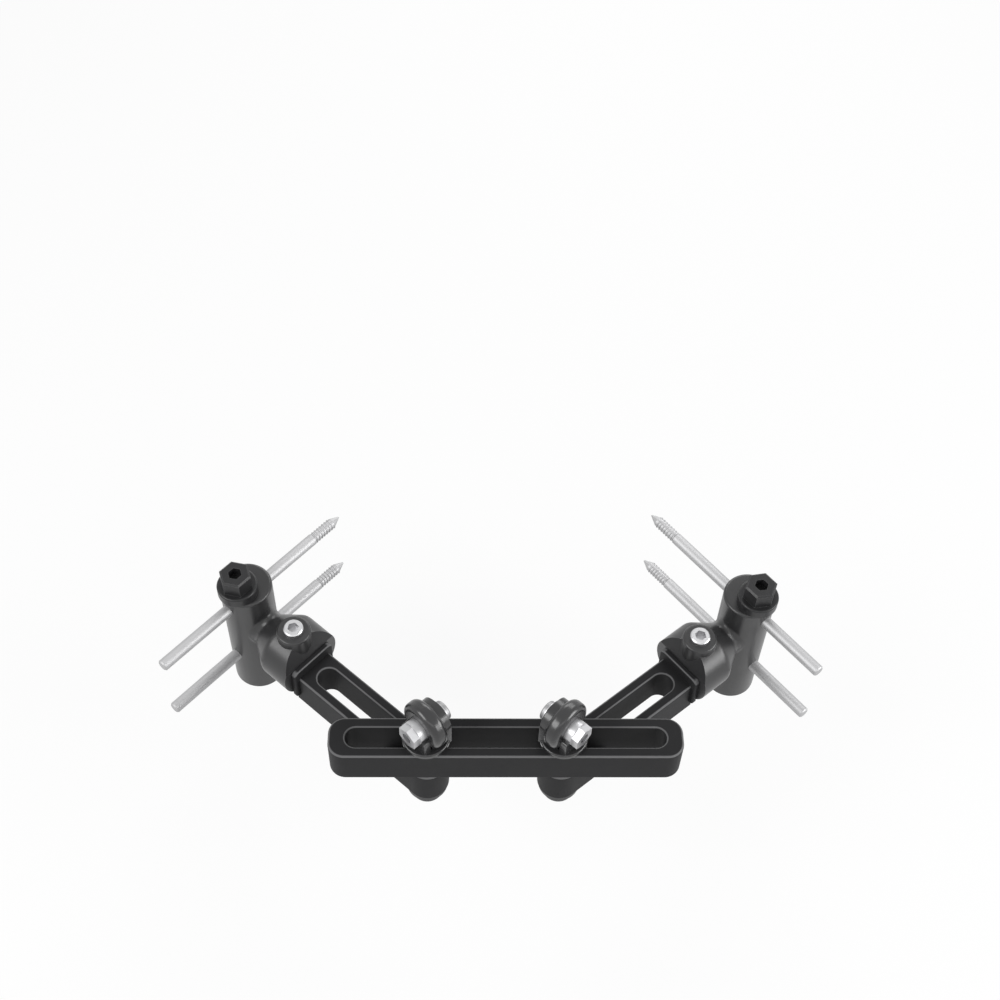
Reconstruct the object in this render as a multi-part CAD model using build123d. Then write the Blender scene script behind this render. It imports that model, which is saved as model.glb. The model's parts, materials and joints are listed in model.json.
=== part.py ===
from build123d import *
from math import cos, radians, sin, tan
import os

os.makedirs("parts", exist_ok=True)

# Clearances: turning and sliding fits on the radius, and faces that slide over each other
running_gap = 0.05
face_gap = 0.05
swivel_gap = 0.2

# Central bar: the underside is at height zero and its middle is the origin
bar_length = 167.0
bar_width = 21.0
bar_height = 21.5
bar_end_wall = 8.0
bar_corner_share = 0.75
bar_slot_width = 10.2
edge_round = 1.5
rim_round = 1.2

# Arms: each runs outward from its lock, below the bar
arm_width = 21.0
arm_height = 22.0
arm_slot_width = 11.0
arm_slot_spacing = 66.5
arm_end_wall = 4.5
flange_thickness = 2.6
flange_width = 26.0
flange_rise = 6.0
flange_corner = 4.0
flange_drop = 15.0

# Lock: eye bolt, saddle, cam, slot guide and foot
shank_radius = 4.0
eye_radius = 12.5
eye_thickness = 8.0
eye_round = 3.0
eye_rise = 13.0
saddle_radius = 11.5
saddle_base = 2.5
cheek_thickness = 3.5
cheek_width = 16.0
lug_radius = 9.5
tongue_depth = 9.0
tongue_spacing = 9.0
cam_radius = 6.0
cam_tail_radius = 5.5
cam_lobe_radius = 5.2
cam_throw = 0.6
cam_head_length = 4.0
cam_tail_length = 2.0
cam_head_across = 10.4
cam_socket_across = 5.0
cam_socket_depth = 3.0
ring_radius = 7.0
ring_thickness = 1.0
guide_spacing = 10.0
foot_inset = 0.5
foot_thickness = 2.5
nut_radius = 8.0
nut_height = 7.0
thread_stand_out = 2.0

# Swivel between arm and clamp
spigot_radius = 6.0
spigot_length = 24.0
spigot_stem_radius = 4.5
spigot_stem_length = 2.2
swivel_cam_radius = 4.9
swivel_cam_at = 9.9
swivel_cam_rise = 2.3
swivel_lobe_radius = 2.4
swivel_throw = 0.5
swivel_floor_gap = 0.4
spigot_neck_radius = 3.5
key_across = 5.0
key_depth = 3.5
swivel_boss_radius = 8.5
swivel_boss_rise = 3.2

# Clamp body: barrel along the arm and upright column
barrel_radius = 17.4
barrel_straight = 17.0
barrel_taper = 12.0
barrel_neck_radius = 9.5
neck_length = 13.7
neck_blend = 3.0
barrel_height = -0.5
bevel_angle = 65.0
column_radius = 13.0
column_top = 27.0
column_bottom = -52.0
column_round = 1.5
stack_radius = 5.0
bolt_offset = 5.0
bolt_flange_radius = 10.0
bolt_flange_height = 5.5
bolt_seat_gap = 0.3
bolt_head_across = 14.0
bolt_head_height = 9.0
bolt_socket_across = 6.0
bolt_socket_depth = 5.0
stack_overlap = 2.2

# Bone pins
pin_radius = 3.0
pin_length = 120.0
pin_tip = 5.0
pin_thread_length = 13.0
pin_core_radius = 2.6
upper_pin_height = 18.0
pin_spacing = 41.5

# Where each side stands: lock place on the bar, arm angle, place in the arm's slot, lock turn
left_lock_at = -37.5
left_arm_angle = 42.1
left_in_slot = 0.3
right_lock_at = 26.9
right_arm_angle = 38.8
right_in_slot = 0.3
left_pin_outside = 56.0
right_pin_outside = 49.5
lock_turn = 42.0

# Places that follow from the sizes above
arm_top = -face_gap
arm_bottom = -arm_height
flange_at = arm_slot_spacing + arm_slot_width / 2 + arm_end_wall
flange_face = flange_at + flange_thickness
barrel_at = flange_face + swivel_gap
swivel_cam_place = flange_face + swivel_cam_at
taper_at = barrel_at + barrel_straight
neck_at = taper_at + barrel_taper
clamp_reach = neck_at + neck_length
foot_radius = arm_width / 2 - foot_inset
eye_height = bar_height + eye_rise
cheek_inside = eye_thickness / 2 + face_gap
cheek_outside = cheek_inside + cheek_thickness
guide_width = arm_slot_width - 2 * running_gap
tongue_width = bar_slot_width - 2 * running_gap
lower_pin_height = upper_pin_height - pin_spacing
hole_radius = pin_radius + running_gap
boss_top = barrel_height + barrel_radius + swivel_boss_rise


def round_z(radius, low, high):
    """Upright round bar between two heights."""
    return Pos(0, 0, (low + high) / 2) * Cylinder(radius, high - low)


def round_x(radius, start, stop):
    """Round bar lying along X between two places."""
    return Pos((start + stop) / 2, 0, 0) * Rot(0, 90, 0) * Cylinder(radius, stop - start)


def hexagon_z(across, low, high):
    """Upright hexagon bar between two heights."""
    outline = RegularPolygon(across / 2, 6, major_radius=False)
    return Pos(0, 0, low) * extrude(outline, high - low)


def hexagon_x(across, start, stop):
    """Hexagon bar lying along X between two places."""
    return Pos(start, 0, 0) * Rot(0, 90, 0) * hexagon_z(across, 0, stop - start)


def obround_z(spacing, width, low, high):
    """Upright block with two round ends, the first centred on the axis."""
    outline = Pos(spacing / 2, 0) * SlotCenterToCenter(spacing, width)
    return Pos(0, 0, low) * extrude(outline, high - low)


def save(name, shape):
    """Writes one piece and prints its size."""
    shape.label = name
    export_step(shape, f"parts/{name}.step")
    print(name, round(shape.volume), "mm3")


def round_plate(plate):
    """Rounds the outer edges and the slot's rims of a slotted plate, on both faces."""
    for place in (-1, 0):
        flat = plate.faces().sort_by(Axis.Z)[place]
        plate = fillet(flat.outer_wire().edges(), edge_round)
        flat = plate.faces().sort_by(Axis.Z)[place]
        plate = fillet(flat.inner_wires()[0].edges(), rim_round)
    return plate


# Central bar with its long slot
bar_plan = RectangleRounded(bar_length, bar_width, bar_corner_share * bar_width / 2)
bar_plan -= SlotOverall(bar_length - 2 * bar_end_wall, bar_slot_width)
save("central_bar", round_plate(extrude(bar_plan, bar_height)))


def make_eyebolt():
    """Eye disc with a cross hole, on a shank through both slots."""
    eye = Pos(0, 0, eye_height) * round_x(eye_radius, -eye_thickness / 2, eye_thickness / 2)
    eye = fillet(eye.edges().filter_by(GeomType.CIRCLE), eye_round)
    foot = arm_bottom - face_gap - foot_thickness - nut_height - thread_stand_out
    shank = chamfer(round_z(shank_radius, foot, bar_height + 4).edges().sort_by(Axis.Z)[0], 0.8)
    hole = cam_lobe_radius + cam_throw + running_gap
    return eye + shank - Pos(0, 0, eye_height) * round_x(hole, -eye_thickness, eye_thickness)


def make_saddle():
    """Round foot on the bar with two cheeks, and a tongue in the bar's slot."""
    low = bar_height + face_gap
    foot = round_z(saddle_radius, low, low + saddle_base)
    foot = fillet(foot.edges().sort_by(Axis.Z)[-1], 0.8)
    cheek = Box(cheek_thickness, cheek_width, eye_rise - 1.5)
    cheek = fillet(cheek.edges().filter_by(Axis.X).group_by(Axis.Z)[-1], 1.2)
    middle = (cheek_inside + cheek_outside) / 2
    foot += Pos(middle, 0, low + (eye_rise - 1.5) / 2) * cheek
    foot += Pos(-middle, 0, low + eye_rise / 2) * Box(cheek_thickness, 2 * lug_radius, eye_rise)
    foot += Pos(0, 0, eye_height) * round_x(lug_radius, -cheek_outside, -cheek_inside)
    foot -= Pos(0, 0, eye_height) * round_x(cam_radius + running_gap, 0, 2 * cheek_outside)
    foot -= Pos(0, 0, eye_height) * round_x(cam_tail_radius + running_gap, -2 * cheek_outside, 0)
    reach = eye_radius + swivel_gap - (eye_rise - saddle_base)
    length = 2 * (eye_radius ** 2 - (eye_radius - reach) ** 2) ** 0.5 + 1
    window = Box(2 * cheek_inside, length, 2 * saddle_base)
    return foot - Pos(0, 0, low + saddle_base) * window


def make_tongue():
    """Part of the saddle that runs in the bar's slot, lined up with the bar."""
    high = bar_height + face_gap
    tongue = Pos(-tongue_spacing / 2, 0, 0)
    tongue = tongue * obround_z(tongue_spacing, tongue_width, high - tongue_depth, high + 0.2)
    return tongue


def make_cam():
    """Cross shaft with journals, an off-centre lobe and a hexagon end."""
    head = cheek_outside + cam_head_length
    tail = cheek_outside + cam_tail_length
    cam = round_x(cam_radius, cheek_inside, cheek_outside + 0.3)
    cam += hexagon_x(cam_head_across, cheek_outside + 0.2, head)
    cam += Pos(0, 0, cam_throw) * round_x(cam_lobe_radius, -cheek_inside, cheek_inside)
    cam += round_x(cam_tail_radius, -tail, -cheek_inside)
    cam -= hexagon_x(cam_socket_across, head - cam_socket_depth, head + 1)
    return Pos(0, 0, eye_height) * cam


def make_cam_ring():
    """Ring on the far end of the cam."""
    start = -cheek_outside - swivel_gap - ring_thickness
    ring = round_x(ring_radius, start, start + ring_thickness)
    ring -= round_x(cam_tail_radius, start - 1, start + ring_thickness + 1)
    return Pos(0, 0, eye_height) * ring


def make_arm():
    """Slotted arm with a rounded inner end and an end flange."""
    plan = Pos(flange_face / 2, 0) * Rectangle(flange_face, arm_width)
    plan += Circle(arm_width / 2)
    plan -= Pos(arm_slot_spacing / 2, 0) * SlotCenterToCenter(arm_slot_spacing, arm_slot_width)
    arm = round_plate(Pos(0, 0, arm_bottom) * extrude(plan, arm_top - arm_bottom))
    tall = flange_rise + flange_drop
    outline = Rectangle(flange_width, tall)
    outline = fillet(outline.vertices().group_by(Axis.Y)[-1], flange_corner)
    outline = fillet(outline.vertices().group_by(Axis.Y)[0], edge_round)
    flange = extrude(Plane.YZ * outline, flange_thickness)
    flange = fillet(flange.faces().sort_by(Axis.X)[0].edges(), 1.0)
    arm += Pos(flange_at, 0, flange_rise - tall / 2) * flange
    hole = round_x(spigot_stem_radius, flange_face - spigot_stem_length, flange_face + 1)
    return arm - Pos(0, 0, barrel_height) * hole


def make_spigot():
    """Steel pivot with a stem in the flange and a groove for the swivel cam."""
    stem = round_x(spigot_stem_radius, flange_face - spigot_stem_length, flange_face)
    stop = flange_face + spigot_length
    body = round_x(spigot_radius, flange_face, stop)
    body = chamfer(body.edges().sort_by(Axis.X)[-1], 0.8)
    half = swivel_lobe_radius + swivel_throw + running_gap
    groove = round_x(spigot_radius + 1, swivel_cam_place - half, swivel_cam_place + half)
    groove -= round_x(spigot_neck_radius, swivel_cam_place - 2 * half, swivel_cam_place + 2 * half)
    return Pos(0, 0, barrel_height) * (stem + body - groove)


def make_swivel_cam():
    """Upright lock pin whose off-centre end sits in the spigot's groove."""
    top = boss_top + swivel_cam_rise
    shoulder = barrel_height + spigot_radius + 2 * swivel_floor_gap
    floor = barrel_height + spigot_neck_radius + swivel_floor_gap
    pin = chamfer(round_z(swivel_cam_radius, shoulder, top).edges().sort_by(Axis.Z)[-1], 0.6)
    pin += Pos(swivel_throw, 0, 0) * round_z(swivel_lobe_radius, floor, shoulder + 0.1)
    return pin - hexagon_z(key_across, top - key_depth, top + 1)


def blend_neck(body):
    """Rounds the corner where the barrel's neck meets the column."""
    corner = []
    for edge in body.edges():
        middle = edge.position_at(0.5)
        from_column = Vector(middle.X - clamp_reach, middle.Y, 0).length - column_radius
        from_neck = Vector(0, middle.Y, middle.Z - barrel_height).length - barrel_neck_radius
        if abs(from_column) < 0.01 and abs(from_neck) < 0.01:
            corner.append(edge)
    return fillet(corner, neck_blend)


def make_clamp(aim):
    """Barrel that turns on the spigot, joined to the upright column."""
    outline = Polyline(
        (barrel_at, 0),
        (barrel_at, barrel_radius),
        (taper_at, barrel_radius),
        (neck_at, barrel_neck_radius),
        (clamp_reach, barrel_neck_radius),
        (clamp_reach, 0),
        close=True,
    )
    section = make_face(outline)
    bend = section.vertices().sort_by_distance((taper_at, barrel_radius))[0]
    section = fillet(bend, 6.0)
    bend = section.vertices().sort_by_distance((neck_at, barrel_neck_radius))[0]
    section = fillet(bend, 6.0)
    barrel = Pos(0, 0, barrel_height) * revolve(section, Axis.X)
    rise = 2 * barrel_radius
    lean = rise / tan(radians(bevel_angle))
    low = barrel_height + spigot_radius + 0.7
    wedge = Polyline(
        (barrel_at - 5, low),
        (barrel_at, low),
        (barrel_at + lean, low + rise),
        (barrel_at - 5, low + rise),
        close=True,
    )
    wedge = extrude(Plane.XZ * make_face(wedge), 2 * barrel_radius, both=True)
    barrel -= wedge
    boss = round_z(swivel_boss_radius, barrel_height, boss_top)
    boss = fillet(boss.edges().sort_by(Axis.Z)[-1], 1.2)
    barrel += Pos(swivel_cam_place, 0, 0) * boss
    column = round_z(column_radius, column_bottom, column_top)
    column = fillet(column.edges().filter_by(GeomType.CIRCLE), column_round)
    body = blend_neck(barrel + Pos(clamp_reach, 0, 0) * column)
    inside = round_x(spigot_radius + running_gap, barrel_at - 1, flange_face + spigot_length + 1)
    body -= Pos(0, 0, barrel_height) * inside
    cam_hole = round_z(swivel_cam_radius + running_gap, barrel_height, barrel_height + rise)
    body -= Pos(swivel_cam_place, 0, 0) * cam_hole
    upright = Pos(clamp_reach, 0, 0) * Rot(0, 0, aim)
    bore = round_z(stack_radius + running_gap, lower_pin_height, column_top + 1)
    body -= upright * Pos(-bolt_offset, 0, 0) * bore
    for height in (upper_pin_height, lower_pin_height):
        hole = round_x(hole_radius, -2 * column_radius, 2 * column_radius)
        body -= upright * Pos(0, 0, height) * hole
    return body


def make_presser():
    """Saddle that the bolt presses on the upper pin."""
    low = upper_pin_height + pin_radius - stack_overlap
    high = upper_pin_height + pin_radius + stack_overlap
    groove = Pos(0, 0, upper_pin_height) * round_x(hole_radius, -20, 20)
    return Pos(-bolt_offset, 0, 0) * round_z(stack_radius, low, high) - groove


def make_spacer():
    """Round bar between the two pins, with a groove at each end."""
    low = lower_pin_height + pin_radius - stack_overlap
    high = upper_pin_height - pin_radius + stack_overlap
    bar = Pos(-bolt_offset, 0, 0) * round_z(stack_radius, low, high)
    for height in (upper_pin_height, lower_pin_height):
        bar -= Pos(0, 0, height) * round_x(hole_radius, -20, 20)
    return bar


def make_bolt():
    """Flanged hexagon bolt with a key socket."""
    low = upper_pin_height + pin_radius + stack_overlap
    seat = column_top + bolt_seat_gap
    flange_top = seat + bolt_flange_height
    top = flange_top + bolt_head_height
    bolt = round_z(stack_radius, low, seat + 0.1)
    flange = round_z(bolt_flange_radius, seat, flange_top)
    bolt += fillet(flange.edges().filter_by(GeomType.CIRCLE).sort_by(Axis.Z)[-1], 1.0)
    bolt += chamfer(hexagon_z(bolt_head_across, flange_top - 0.1, top).edges().group_by(Axis.Z)[-1], 0.8)
    bolt -= hexagon_z(bolt_socket_across, top - bolt_socket_depth, top + 1)
    return Pos(-bolt_offset, 0, 0) * bolt


def make_pin(height, outside):
    """Bone pin with a bevelled outer end, a thinner thread core and a pointed tip."""
    tip = pin_length - outside
    thread = tip - pin_tip - pin_thread_length
    pin = chamfer(round_x(pin_radius, -outside, thread).edges(), 0.6)
    pin += round_x(pin_core_radius, thread - 0.1, tip - pin_tip)
    point = Rot(0, 90, 0) * Cone(pin_core_radius, 0.4, pin_tip)
    return Pos(0, 0, height) * (pin + Pos(tip - pin_tip / 2, 0, 0) * point)


def make_side(side, hand, lock_at, arm_angle, in_slot, outside):
    """Builds one half of the frame and writes its pieces."""
    lock = Pos(lock_at, 0, 0)
    turned = lock * Rot(0, 0, -lock_turn if hand > 0 else 180 + lock_turn)
    heading = arm_angle if hand > 0 else 180 - arm_angle
    swung = lock * Rot(0, 0, heading)
    arm = swung * Pos(-in_slot, 0, 0)
    aim = hand * 90
    column = arm * Pos(clamp_reach, 0, 0) * Rot(0, 0, aim)
    save(f"{side}_lock_eyebolt", turned * make_eyebolt())
    shank_hole = round_z(shank_radius + running_gap, 0, 2 * bar_height)
    saddle = turned * make_saddle() + lock * make_tongue() - lock * shank_hole
    save(f"{side}_lock_saddle", saddle)
    save(f"{side}_lock_cam", turned * make_cam())
    save(f"{side}_cam_ring", turned * make_cam_ring())
    guide = obround_z(guide_spacing, guide_width, arm_bottom + 0.5, arm_top - 0.5)
    save(f"{side}_slot_guide", swung * (guide - round_z(shank_radius + running_gap, arm_bottom, 0)))
    low = arm_bottom - face_gap - foot_thickness
    washer = round_z(foot_radius, low, low + foot_thickness)
    save(f"{side}_foot_washer", lock * (washer - round_z(shank_radius + running_gap, low - 1, 0)))
    nut = round_z(nut_radius, low - nut_height, low)
    nut = fillet(nut.edges().filter_by(GeomType.CIRCLE).sort_by(Axis.Z)[0], 2.0)
    nut -= round_z(shank_radius, low - 20, 0)
    save(f"{side}_foot_nut", lock * nut)
    save(f"{side}_arm", arm * make_arm())
    save(f"{side}_swivel_spigot", arm * make_spigot())
    save(f"{side}_swivel_cam", arm * Pos(swivel_cam_place, 0, 0) * make_swivel_cam())
    save(f"{side}_clamp_body", arm * make_clamp(aim))
    save(f"{side}_clamp_bolt", column * make_bolt())
    save(f"{side}_upper_presser", column * make_presser())
    save(f"{side}_pin_spacer", column * make_spacer())
    save(f"{side}_upper_pin", column * make_pin(upper_pin_height, outside))
    save(f"{side}_lower_pin", column * make_pin(lower_pin_height, outside))


make_side("left", -1, left_lock_at, left_arm_angle, left_in_slot, left_pin_outside)
make_side("right", 1, right_lock_at, right_arm_angle, right_in_slot, right_pin_outside)
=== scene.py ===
# %% [markdown]
# # An external fixator, dressed for its picture
# An external fixator is a slotted bar, two slotted arms on cam locks, and a swivel clamp at the end of each
# arm that grips two steel pins. The solids already have the true shapes and sizes, so this lesson keeps them
# as they are and gives each one its finish: black anodising, black oxide, polymer, or turned or ground steel.
# Thread ridges and two small end buttons are added as meshes.

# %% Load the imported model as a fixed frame
import json
import math

import bmesh
import bpy
from mathutils import Matrix, Vector


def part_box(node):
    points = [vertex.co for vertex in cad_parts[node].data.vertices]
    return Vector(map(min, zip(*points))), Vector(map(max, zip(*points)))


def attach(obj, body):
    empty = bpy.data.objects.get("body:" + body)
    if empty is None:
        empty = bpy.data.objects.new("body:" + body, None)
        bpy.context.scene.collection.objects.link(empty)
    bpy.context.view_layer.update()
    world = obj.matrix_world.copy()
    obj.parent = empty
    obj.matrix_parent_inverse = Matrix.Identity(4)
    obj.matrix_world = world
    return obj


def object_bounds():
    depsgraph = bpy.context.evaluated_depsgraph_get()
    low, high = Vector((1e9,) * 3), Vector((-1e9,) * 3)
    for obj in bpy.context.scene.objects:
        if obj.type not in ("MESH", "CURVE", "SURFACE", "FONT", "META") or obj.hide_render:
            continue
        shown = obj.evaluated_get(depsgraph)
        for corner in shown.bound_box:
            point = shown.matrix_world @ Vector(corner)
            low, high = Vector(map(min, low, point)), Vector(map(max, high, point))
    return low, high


MM_PER_M = 1000
SIDES = ("left", "right")

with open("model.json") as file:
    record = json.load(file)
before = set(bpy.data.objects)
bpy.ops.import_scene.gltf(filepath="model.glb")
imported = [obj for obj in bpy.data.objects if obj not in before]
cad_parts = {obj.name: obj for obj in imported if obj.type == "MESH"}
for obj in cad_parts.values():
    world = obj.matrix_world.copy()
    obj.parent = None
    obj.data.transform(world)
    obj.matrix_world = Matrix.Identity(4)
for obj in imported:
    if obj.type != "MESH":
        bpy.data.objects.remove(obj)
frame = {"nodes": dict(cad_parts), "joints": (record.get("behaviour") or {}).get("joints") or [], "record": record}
nodes = frame["nodes"]
record = frame["record"]
cad_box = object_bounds()
joints = {joint["name"]: joint for joint in frame["joints"]}
mounts = {mount["name"]: mount for mount in record["mounts"]}

# %% [markdown]
# ## Camera
# The picture looks down on the frame from the front, with a longish lens and a slight roll of the camera. The
# camera could be aimed with a Track To constraint, but a roll is easier to state as three directions: where
# it looks, what is to its right and what is up. They become the columns of its matrix.

# %% Place the camera
LENS_MM = 57.6
SENSOR_MM = 36
CLIP_START = 0.01
CAMERA_PLACE = Vector((-0.0221, -0.3563, 0.6893))
PITCH, YAW, ROLL = (math.radians(angle) for angle in (53.46, 2.4, 2.2))


def camera_matrix():
    """Turns pitch, yaw and roll into the camera's place and directions."""
    ahead = Vector((math.sin(YAW) * math.cos(PITCH), math.cos(YAW) * math.cos(PITCH), -math.sin(PITCH)))
    level = Vector((math.cos(YAW), -math.sin(YAW), 0))
    upright = level.cross(ahead)
    right = level * math.cos(ROLL) + upright * math.sin(ROLL)
    up = upright * math.cos(ROLL) - level * math.sin(ROLL)
    turn = Matrix((right, up, -ahead)).transposed().to_4x4()
    return Matrix.Translation(CAMERA_PLACE) @ turn


camera = bpy.data.objects.new("camera", bpy.data.cameras.new("camera"))
bpy.context.scene.collection.objects.link(camera)
camera.data.lens = LENS_MM
camera.data.sensor_width = SENSOR_MM
camera.data.clip_start = CLIP_START
camera.matrix_world = camera_matrix()
bpy.context.scene.camera = camera
bpy.context.scene.view_settings.view_transform = "Standard"
print("camera", [round(value, 3) for value in camera.location])

# %% [markdown]
# ## Floor
# The ground of the picture is plain white with a faint shadow. More light could burn the floor out to white,
# but that light would also fall on the object. So the floor's material shows a share of plain white to every
# ray that sees it or mirrors it, and the rest of the material takes light as usual and keeps the shadow.

# %% A white floor that keeps its shadow
FLOOR_DROP = 0.045
FLOOR_REACH = 4.0
FLOOR_TONE = (0.92, 0.92, 0.92, 1)
FLOOR_ROUGH = 0.9
WHITE_SHARE = 0.88
SEEN_RAYS = ("Is Camera Ray", "Is Glossy Ray", "Is Transmission Ray")


def principled(name):
    """Makes a material and returns it with its node tree and its main shader."""
    material = bpy.data.materials.new(name)
    material.use_nodes = True
    return material, material.node_tree, material.node_tree.nodes["Principled BSDF"]


def any_ray(tree, kinds):
    """One where a ray is of one of these kinds, zero for the others."""
    path = tree.nodes.new("ShaderNodeLightPath")
    found = path.outputs[kinds[0]]
    for kind in kinds[1:]:
        either = tree.nodes.new("ShaderNodeMath")
        either.operation = "MAXIMUM"
        tree.links.new(found, either.inputs[0])
        tree.links.new(path.outputs[kind], either.inputs[1])
        found = either.outputs["Value"]
    return found


def whiten(tree, shader):
    """Shows part of the floor as plain white where it is seen or mirrored."""
    part = tree.nodes.new("ShaderNodeMath")
    part.operation = "MULTIPLY"
    part.inputs[1].default_value = WHITE_SHARE
    tree.links.new(any_ray(tree, SEEN_RAYS), part.inputs[0])
    white = tree.nodes.new("ShaderNodeEmission")
    mixed = tree.nodes.new("ShaderNodeMixShader")
    tree.links.new(part.outputs["Value"], mixed.inputs["Fac"])
    tree.links.new(shader.outputs["BSDF"], mixed.inputs[1])
    tree.links.new(white.outputs["Emission"], mixed.inputs[2])
    tree.links.new(mixed.outputs["Shader"], tree.nodes["Material Output"].inputs["Surface"])


def make_floor():
    """A large pale plane below the lowest solid; returns its height."""
    height = cad_box[0].z - FLOOR_DROP
    signs = ((-1, -1), (1, -1), (1, 1), (-1, 1))
    mesh = bpy.data.meshes.new("floor")
    mesh.from_pydata([(x * FLOOR_REACH, y * FLOOR_REACH, height) for x, y in signs], [], [(0, 1, 2, 3)])
    floor = bpy.data.objects.new("floor", mesh)
    bpy.context.scene.collection.objects.link(floor)
    material, tree, shader = principled("floor_white")
    shader.inputs["Base Color"].default_value = FLOOR_TONE
    shader.inputs["Roughness"].default_value = FLOOR_ROUGH
    shader.inputs["Specular IOR Level"].default_value = 0.0
    whiten(tree, shader)
    mesh.materials.append(material)
    return height


print("floor at", round(make_floor(), 4), "m")

# %% [markdown]
# ## Light
# A black object on white needs broad lights: their reflections draw the rounded edges as pale lines. On the
# bar and arms these lines are also painted into the colour as highlights. A photographed surround would bring
# reflections of its own, so the light comes from plain lamps that can be moved one at a time. A large lamp
# from the right lights the right-hand faces, and one from above on the left draws the sheen on the left
# clamp. A strip above the front picks out the rims, a lamp behind keeps the back from going flat, and a
# quiet grey surround fills the rest.

# %% An even surround and four area lamps
SURROUND_LIGHT = 0.25
SURROUND_MIRRORED = 0.95
LAMPS = {  # place, point to look at, width and height, power in watts
    "key": ((1.00, -0.20, 0.40), (0.0, 0.04, 0.0), (0.7, 0.5), 8.0),
    "fill": ((-0.78, -0.28, 0.66), (-0.1, 0.06, 0.0), (0.7, 0.5), 6.0),
    "strip": ((0.05, -0.70, 0.70), (0.0, 0.0, 0.0), (1.1, 0.16), 1.0),
    "back": ((0.15, 0.95, 0.55), (0.0, 0.04, 0.0), (0.7, 0.5), 3.5),
}


def make_surround():
    """An even grey surround, brighter where metal mirrors it."""
    world = bpy.data.worlds.new("surround")
    world.use_nodes = True
    bpy.context.scene.world = world
    tree = world.node_tree
    background = tree.nodes["Background"]
    background.inputs["Color"].default_value = (1, 1, 1, 1)
    level = tree.nodes.new("ShaderNodeMapRange")
    level.inputs["To Min"].default_value = SURROUND_LIGHT
    level.inputs["To Max"].default_value = SURROUND_MIRRORED
    tree.links.new(any_ray(tree, SEEN_RAYS), level.inputs["Value"])
    tree.links.new(level.outputs["Result"], background.inputs["Strength"])


def make_lamp(name, place, aim, size, power):
    """An area lamp that looks at a point."""
    lamp = bpy.data.objects.new(name, bpy.data.lights.new(name, "AREA"))
    lamp.data.shape = "RECTANGLE"
    lamp.data.size, lamp.data.size_y = size
    lamp.data.energy = power
    lamp.location = place
    lamp.rotation_euler = (Vector(aim) - Vector(place)).to_track_quat("-Z", "Y").to_euler()
    bpy.context.scene.collection.objects.link(lamp)


make_surround()
for lamp_name, settings in LAMPS.items():
    make_lamp(lamp_name, *settings)
print("lamps:", ", ".join(LAMPS))

# %% [markdown]
# ## Finishes
# Black anodising is a dyed skin on blasted aluminium: nearly black and satin, with a grain far finer than a
# millimetre and a faint cloudiness. Corners that hands and tools touch go a little paler. Pictures of metal
# could be laid on the solids, but they would need UV maps. Noise on the Object coordinates needs none, and
# its grain has one true size on every solid. One builder makes every finish from four things: a tone with
# slow variation, a roughness with its own variation, a fine grain as bump, and paler tones on edges. These
# come first, in two helpers: worn sharp edges are found by the Bevel node, and broad rounded rims get a
# painted highlight by the direction in which their surface looks, where the lamps' reflections would show.

# %% Paler tones on worn edges, and painted highlights on rounded rims
FACTOR, FIRST, SECOND, MIXED = 0, 6, 7, 2  # places of the Mix node's colour sockets
BEVEL_SAMPLES = 6
EDGE_STARTS, EDGE_FULL = 0.985, 0.90
# Upward slopes of the surface where the painted highlight on rounded rims fades in and is full.
RIM_FADES = (0.25, 0.97)
RIM_FULL = (0.50, 0.85)


def mix_colours(tree, factor, first, second):
    """Mix node for colours; each colour is a plain tone or another node's output."""
    node = tree.nodes.new("ShaderNodeMix")
    node.data_type = "RGBA"
    tree.links.new(factor, node.inputs[FACTOR])
    for place, colour in ((FIRST, first), (SECOND, second)):
        if isinstance(colour, tuple):
            node.inputs[place].default_value = (*colour, 1)
        else:
            tree.links.new(colour, node.inputs[place])
    return node.outputs[MIXED]


def wear_edges(tree, colour, mottle, worn):
    """Mixes a paler tone in where the surface bends sharply, broken up by a mottle."""
    tone, reach_mm = worn
    link = tree.links.new
    soft = tree.nodes.new("ShaderNodeBevel")
    soft.samples = BEVEL_SAMPLES
    soft.inputs["Radius"].default_value = reach_mm / MM_PER_M
    true = tree.nodes.new("ShaderNodeNewGeometry")
    agree = tree.nodes.new("ShaderNodeVectorMath")
    agree.operation = "DOT_PRODUCT"
    link(soft.outputs["Normal"], agree.inputs[0])
    link(true.outputs["Normal"], agree.inputs[1])
    edge = tree.nodes.new("ShaderNodeMapRange")
    edge.inputs["From Min"].default_value = EDGE_STARTS
    edge.inputs["From Max"].default_value = EDGE_FULL
    link(agree.outputs["Value"], edge.inputs["Value"])
    broken = tree.nodes.new("ShaderNodeMath")
    broken.operation = "MULTIPLY"
    link(edge.outputs["Result"], broken.inputs[0])
    link(mottle.outputs["Fac"], broken.inputs[1])
    return mix_colours(tree, broken.outputs["Value"], colour, tone)


# Painted highlight: a paler tone on rounded rims that face a given way, where the lamps' reflections would show.
def paint_rim_highlights(tree, colour, tone):
    """Paints a highlight: mixes a paler tone in on rounded rims, faces that look neither straight up nor sideways.
    """
    link = tree.links.new
    true = tree.nodes.new("ShaderNodeNewGeometry")
    parts = tree.nodes.new("ShaderNodeSeparateXYZ")
    link(true.outputs["Normal"], parts.inputs["Vector"])
    slope = tree.nodes.new("ShaderNodeValToRGB")
    link(parts.outputs["Z"], slope.inputs["Fac"])
    ramp = slope.color_ramp.elements
    for element, position in zip(ramp, RIM_FADES):
        element.position, element.color = position, (0, 0, 0, 1)
    for position in RIM_FULL:
        ramp.new(position).color = (1, 1, 1, 1)
    return mix_colours(tree, slope.outputs["Color"], colour, tone)


bend = round(math.degrees(math.acos(EDGE_FULL)))
print("an edge is fully pale where the Bevel node turns its normal by", bend, "degrees or more")

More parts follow.
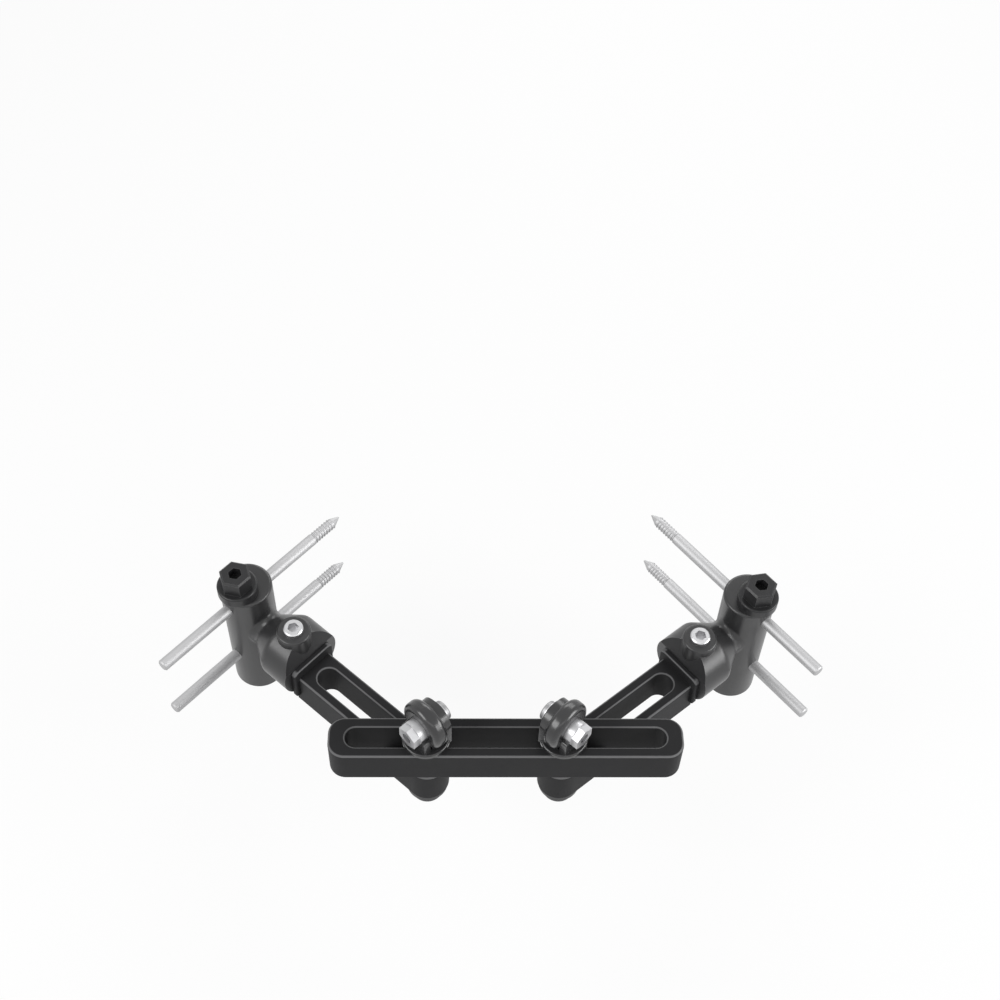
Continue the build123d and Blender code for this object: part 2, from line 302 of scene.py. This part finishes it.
# %% [markdown]
# The clamps are satin, the eye bolts and saddles are polished, and the bar and arms are nearly matt. Bolts,
# nuts, washers and rings are steel with a thin skin of black oxide, and the slot guides are a black polymer.
# Each could have a node tree of its own. One function with a few numbers is shorter, and it keeps the
# finishes alike where the metal is the same.

# %% A builder for finishes, and the black ones
CLOUD = (60.0, 3.0)  # scale and detail of the noise
MOTTLE = (900.0, 3.0)
GRAIN_DETAIL = 2.0
NOISE_RANGE = (0.3, 0.7)
BUMP_STRENGTH = 0.6


def add_noise(tree, scale, detail, vector):
    """Noise texture that reads the given coordinates."""
    texture = tree.nodes.new("ShaderNodeTexNoise")
    texture.inputs["Scale"].default_value = scale
    texture.inputs["Detail"].default_value = detail
    tree.links.new(vector, texture.inputs["Vector"])
    return texture


def finish(
    name, tone, metal, rough, grain, worn=None, rim=None, along=0.0, stretch=(1, 1, 1), specular=0.5
):
    """Makes one finish.

    tone: two colours; rough: low and high; grain: scale, and depth in mm; worn: edge colour, and reach in mm;
    rim: colour of the painted highlight on rounded rims; along and stretch: turn and scale of the grain.
    """
    material, tree, shader = principled(name)
    link = tree.links.new
    shader.inputs["Metallic"].default_value = metal
    shader.inputs["Specular IOR Level"].default_value = specular
    place = tree.nodes.new("ShaderNodeTexCoord").outputs["Object"]
    turn = tree.nodes.new("ShaderNodeMapping")
    turn.inputs["Rotation"].default_value = (0, 0, along)
    turn.inputs["Scale"].default_value = stretch
    link(place, turn.inputs["Vector"])
    colour = mix_colours(tree, add_noise(tree, *CLOUD, place).outputs["Fac"], *tone)
    grain_scale, grain_depth = grain
    fine = add_noise(tree, grain_scale, GRAIN_DETAIL, turn.outputs["Vector"])
    spread = tree.nodes.new("ShaderNodeMapRange")
    spread.inputs["From Min"].default_value, spread.inputs["From Max"].default_value = NOISE_RANGE
    spread.inputs["To Min"].default_value, spread.inputs["To Max"].default_value = rough
    link(fine.outputs["Fac"], spread.inputs["Value"])
    link(spread.outputs["Result"], shader.inputs["Roughness"])
    bump = tree.nodes.new("ShaderNodeBump")
    bump.inputs["Distance"].default_value = grain_depth / MM_PER_M
    bump.inputs["Strength"].default_value = BUMP_STRENGTH
    link(fine.outputs["Fac"], bump.inputs["Height"])
    link(bump.outputs["Normal"], shader.inputs["Normal"])
    if worn:
        colour = wear_edges(tree, colour, add_noise(tree, *MOTTLE, place), worn)
    # Painted highlight on rounded rims, for finishes given a colour for it.
    if rim:
        colour = paint_rim_highlights(tree, colour, rim)
    link(colour, shader.inputs["Base Color"])
    return material


BLACK = ((0.021, 0.021, 0.022), (0.029, 0.029, 0.030))
CLAMP_BLACK = ((0.026, 0.026, 0.027), (0.035, 0.035, 0.036))
OXIDE_BLACK = ((0.014, 0.014, 0.015), (0.022, 0.022, 0.023))
POLYMER_BLACK = ((0.030, 0.030, 0.032), (0.042, 0.042, 0.045))
BLACK_EDGE = ((0.085, 0.085, 0.088), 0.5)
OXIDE_EDGE = ((0.12, 0.12, 0.123), 0.5)
# Colour of the painted highlight on the rounded rims of the bar and arms.
PLATE_RIM_HIGHLIGHT = (0.17, 0.17, 0.173)
SATIN_GRAIN = (2600.0, 0.010)
anodised = finish("black_anodised", CLAMP_BLACK, 0.0, (0.29, 0.36), SATIN_GRAIN, BLACK_EDGE, specular=0.50)
polished = finish("black_polished", BLACK, 0.0, (0.20, 0.26), (2600.0, 0.004), BLACK_EDGE, specular=0.60)
plate = finish("black_anodised_plate", BLACK, 0.0, (0.48, 0.58), SATIN_GRAIN, rim=PLATE_RIM_HIGHLIGHT, specular=0.07)
oxide = finish("black_oxide", OXIDE_BLACK, 0.0, (0.30, 0.40), (1500.0, 0.008), OXIDE_EDGE, specular=0.35)
polymer = finish("guide_polymer", POLYMER_BLACK, 0.0, (0.5, 0.62), (1800.0, 0.02))
print("black finishes:", ", ".join(material.name for material in (anodised, polished, plate, oxide, polymer)))

# %% [markdown]
# Cams and pivots are turned on a lathe and left bright, with a duller button at the cam's far end. The pins
# are ground between wheels, which leaves fine marks round the pin. The marks follow the pin, so the grain is
# turned to the pin's own direction and squeezed along it. Each side has its own direction, and so its own
# finish.

# %% Turned and ground steel
TURNED_TONE = ((0.50, 0.50, 0.51), (0.58, 0.58, 0.59))
TURNED_EDGE = ((0.72, 0.72, 0.73), 0.3)
TURNED_GRAIN = (2200.0, 0.003)
DULL_TONE = ((0.30, 0.30, 0.305), (0.36, 0.36, 0.365))
PIN_TONE = ((0.44, 0.44, 0.445), (0.50, 0.50, 0.505))
PIN_ROUGH = (0.55, 0.63)
PIN_GRAIN = (120.0, 0.0002)
PIN_STRETCH = (30, 4, 4)
turned = finish("turned_steel", TURNED_TONE, 1.0, (0.34, 0.44), TURNED_GRAIN, TURNED_EDGE)
dull = finish("dull_steel", DULL_TONE, 1.0, (0.48, 0.56), TURNED_GRAIN)
ground = {}
for side in SIDES:
    axis = Vector(joints[f"{side}_upper_pin_slide"]["axis"])
    turn_back = -math.atan2(axis.y, axis.x)
    ground[side] = finish(
        f"ground_steel_{side}", PIN_TONE, 1.0, PIN_ROUGH, PIN_GRAIN, along=turn_back, stretch=PIN_STRETCH
    )
    print(ground[side].name, "is turned by", round(math.degrees(turn_back)), "degrees")

# %% [markdown]
# Each solid names its material slot, and most finishes follow from that. The bar and the arms are flat plates
# with a painted highlight on their rounded rims, and the eye bolts and saddles are glossier than the clamps,
# so these four kinds have their own finish.

# %% Give each solid its finish
by_slot = {"black_anodised": anodised, "black_steel": oxide, "steel": turned, "guide_polymer": polymer}
by_kind = {"bar": plate, "arm": plate, "eyebolt": polished, "saddle": polished}
slot_of = {entry["node"]: entry["material_slot"] for entry in record["subparts"]}


def finish_of(name):
    """The finish of one solid, from the first and last word of its name and its slot."""
    words = name.split("_")
    slot = slot_of[name]
    return ground[words[0]] if slot == "pin_steel" else by_kind.get(words[-1], by_slot[slot])


for name, solid in nodes.items():
    solid.data.materials.clear()
    solid.data.materials.append(finish_of(name))
print("dressed", len(nodes), "solids")

# %% [markdown]
# ## Threads
# The inner end of a pin carries a cutting thread, and the lock's shank ends in a thread below its nut. A
# Screw modifier could wind one thread, but its sizes would have to be set again for each. A thread follows a
# rule, so Geometry Nodes make it: a spiral as long as the thread, and a small diamond swept along it. Half of
# the diamond sinks into the core, and the other half is the ridge.

# %% A node tree that winds a thread ridge
STEPS_PER_TURN = 28
DIAMOND_CORNERS = 4
THREAD_SIZES = ("Core radius", "Ridge height", "Pitch", "Length")


def make_thread_tree():
    """Spiral ridge that stands on the Z axis, from height zero to the thread's length."""
    tree = bpy.data.node_groups.new("thread_ridge", "GeometryNodeTree")
    for label in THREAD_SIZES:
        tree.interface.new_socket(label, in_out="INPUT", socket_type="NodeSocketFloat")
    tree.interface.new_socket("Finish", in_out="INPUT", socket_type="NodeSocketMaterial")
    tree.interface.new_socket("Geometry", in_out="OUTPUT", socket_type="NodeSocketGeometry")
    add = tree.nodes.new
    link = tree.links.new
    given, result = add("NodeGroupInput"), add("NodeGroupOutput")
    turns = add("ShaderNodeMath")
    turns.operation = "DIVIDE"
    link(given.outputs["Length"], turns.inputs[0])
    link(given.outputs["Pitch"], turns.inputs[1])
    spiral = add("GeometryNodeCurveSpiral")
    spiral.inputs["Resolution"].default_value = STEPS_PER_TURN
    link(turns.outputs["Value"], spiral.inputs["Rotations"])
    link(given.outputs["Core radius"], spiral.inputs["Start Radius"])
    link(given.outputs["Core radius"], spiral.inputs["End Radius"])
    link(given.outputs["Length"], spiral.inputs["Height"])
    upright = add("GeometryNodeSetCurveNormal")
    upright.mode = "Z_UP"
    link(spiral.outputs["Curve"], upright.inputs["Curve"])
    diamond = add("GeometryNodeCurvePrimitiveCircle")
    diamond.inputs["Resolution"].default_value = DIAMOND_CORNERS
    link(given.outputs["Ridge height"], diamond.inputs["Radius"])
    sweep = add("GeometryNodeCurveToMesh")
    sweep.inputs["Fill Caps"].default_value = True
    link(upright.outputs["Curve"], sweep.inputs["Curve"])
    link(diamond.outputs["Curve"], sweep.inputs["Profile Curve"])
    real = add("GeometryNodeRealizeInstances")
    link(sweep.outputs["Mesh"], real.inputs["Geometry"])
    dress = add("GeometryNodeSetMaterial")
    link(real.outputs["Geometry"], dress.inputs["Geometry"])
    link(given.outputs["Finish"], dress.inputs["Material"])
    link(dress.outputs["Geometry"], result.inputs["Geometry"])
    return tree


thread_tree = make_thread_tree()
print("thread tree with", len(thread_tree.nodes), "nodes")

# %% [markdown]
# A node tree needs an object to run on. Each thread gets one for a moment: the tree runs, its result becomes
# a plain mesh, and the object goes away again. The pin's thread mount tells how long and how thick the core
# is.

# %% Threads on the pins
PIN_THREAD = {"Ridge height": 0.00042, "Pitch": 0.00175}
PIN_RUNOUT = 0.0006


def from_tree(name, tree, values, place, body):
    """Runs the tree with the given inputs, puts the mesh in its place and lets it ride on a body."""
    maker = bpy.data.objects.new(name + "_maker", bpy.data.meshes.new(name + "_maker"))
    bpy.context.scene.collection.objects.link(maker)
    modifier = maker.modifiers.new("tree", "NODES")
    modifier.node_group = tree
    for item in tree.interface.items_tree:
        if item.item_type == "SOCKET" and item.in_out == "INPUT":
            modifier[item.identifier] = values[item.name]
    seen = maker.evaluated_get(bpy.context.evaluated_depsgraph_get())
    mesh = bpy.data.meshes.new_from_object(seen)
    bpy.data.objects.remove(maker)
    mesh.name = name
    mesh.transform(place)
    piece = bpy.data.objects.new(name, mesh)
    bpy.context.scene.collection.objects.link(piece)
    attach(piece, body)
    print(name, len(mesh.polygons), "faces")


def stand_along(start, direction):
    """Place for a thing that stands on Z, moved to a start point and turned to a direction."""
    return Matrix.Translation(start) @ Vector((0, 0, 1)).rotation_difference(direction).to_matrix().to_4x4()


for side in SIDES:
    for pin in (f"{side}_upper_pin", f"{side}_lower_pin"):
        mount = mounts[f"{pin}_thread"]
        axis = Vector(mount["axis"])
        length = mount["dims"]["length_mm"] / MM_PER_M - PIN_RUNOUT
        core = mount["dims"]["r_mm"] / MM_PER_M
        start = Vector(mount["pos_m"]) - axis * length / 2
        sizes = {**PIN_THREAD, "Core radius": core, "Length": length, "Finish": ground[side]}
        from_tree(f"{pin}_ridge", thread_tree, sizes, stand_along(start, axis), pin)

# %% [markdown]
# The shank's thread is finer. It starts a little above the end of the eye bolt and stops short of the nut.

# %% Thread on the end of each lock's shank
SHANK_THREAD = {"Core radius": 0.0040, "Ridge height": 0.0002, "Pitch": 0.0007}
SHANK_START = 0.0009
SHANK_RUNOUT = 0.0011
for side in SIDES:
    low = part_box(f"{side}_lock_eyebolt")[0].z
    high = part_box(f"{side}_foot_nut")[0].z
    centre = Vector(joints[f"{side}_arm_swing"]["pos_m"])
    place = Matrix.Translation((centre.x, centre.y, low + SHANK_START))
    sizes = {**SHANK_THREAD, "Length": high - low - SHANK_RUNOUT, "Finish": polished}
    from_tree(f"{side}_shank_ridge", thread_tree, sizes, place, f"{side}_lock")

# %% [markdown]
# ## End buttons
# The far end of each lock's cam carries a low steel button, and its edge shows past the eye in the picture. A
# cylinder with a Bevel modifier would do, but the real one is turned on a lathe, and so is this mesh: half of
# its section is drawn as an outline and spun about an axis.

# %% Draw the outline of a button
BUTTON_RADIUS = 0.0050
BUTTON_HEIGHT = 0.0024
BUTTON_ROUND = 0.0010
ROUND_STEPS = 6


def button_outline():
    """Half section as (radius, height), from the axis round the rounded edge and back to the axis."""
    inner = BUTTON_RADIUS - BUTTON_ROUND
    low = BUTTON_HEIGHT - BUTTON_ROUND
    outline = [(0, 0), (BUTTON_RADIUS, 0)]
    for index in range(ROUND_STEPS + 1):
        angle = index * math.pi / (2 * ROUND_STEPS)
        outline.append((inner + BUTTON_ROUND * math.cos(angle), low + BUTTON_ROUND * math.sin(angle)))
    return [*outline, (0, BUTTON_HEIGHT)]


outline = button_outline()
print("button outline of", len(outline), "points")

# %% [markdown]
# Spinning leaves doubled points on the axis and along the seam, so they are merged before the faces are
# turned outwards. The cam itself tells where its button sits: on the point of the solid that lies furthest
# from the eye, along the cam's axis.

# %% Spin the buttons and set them on the cams
BUTTON_SINK = 0.0002
STEPS_ROUND = 48
MERGE_BELOW = 1e-6
SHARP_FROM = math.radians(40)


def spin(name, outline):
    """Turned mesh that stands on the XY plane, from its half section."""
    shape = bmesh.new()
    points = [shape.verts.new((radius, 0, height)) for radius, height in outline]
    lines = [shape.edges.new(pair) for pair in zip(points, points[1:])]
    bmesh.ops.spin(
        shape, geom=points + lines, cent=(0, 0, 0), axis=(0, 0, 1), angle=2 * math.pi, steps=STEPS_ROUND
    )
    bmesh.ops.remove_doubles(shape, verts=shape.verts, dist=MERGE_BELOW)
    bmesh.ops.recalc_face_normals(shape, faces=shape.faces)
    mesh = bpy.data.meshes.new(name)
    shape.to_mesh(mesh)
    shape.free()
    mesh.shade_smooth()
    mesh.set_sharp_from_angle(angle=SHARP_FROM)
    return mesh


for side in SIDES:
    name = f"{side}_cam_button"
    joint = joints[f"{side}_cam_turn"]
    eye = Vector(joint["pos_m"])
    away = -Vector(joint["axis"])
    tail = max((corner.co - eye).dot(away) for corner in nodes[f"{side}_lock_cam"].data.vertices)
    mesh = spin(name, outline)
    mesh.transform(stand_along(eye + away * (tail - BUTTON_SINK), away))
    mesh.materials.append(dull)
    button = bpy.data.objects.new(name, mesh)
    bpy.context.scene.collection.objects.link(button)
    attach(button, f"{side}_cam")
    print(name, len(mesh.polygons), "faces,", round(tail * MM_PER_M, 1), "mm from the eye")
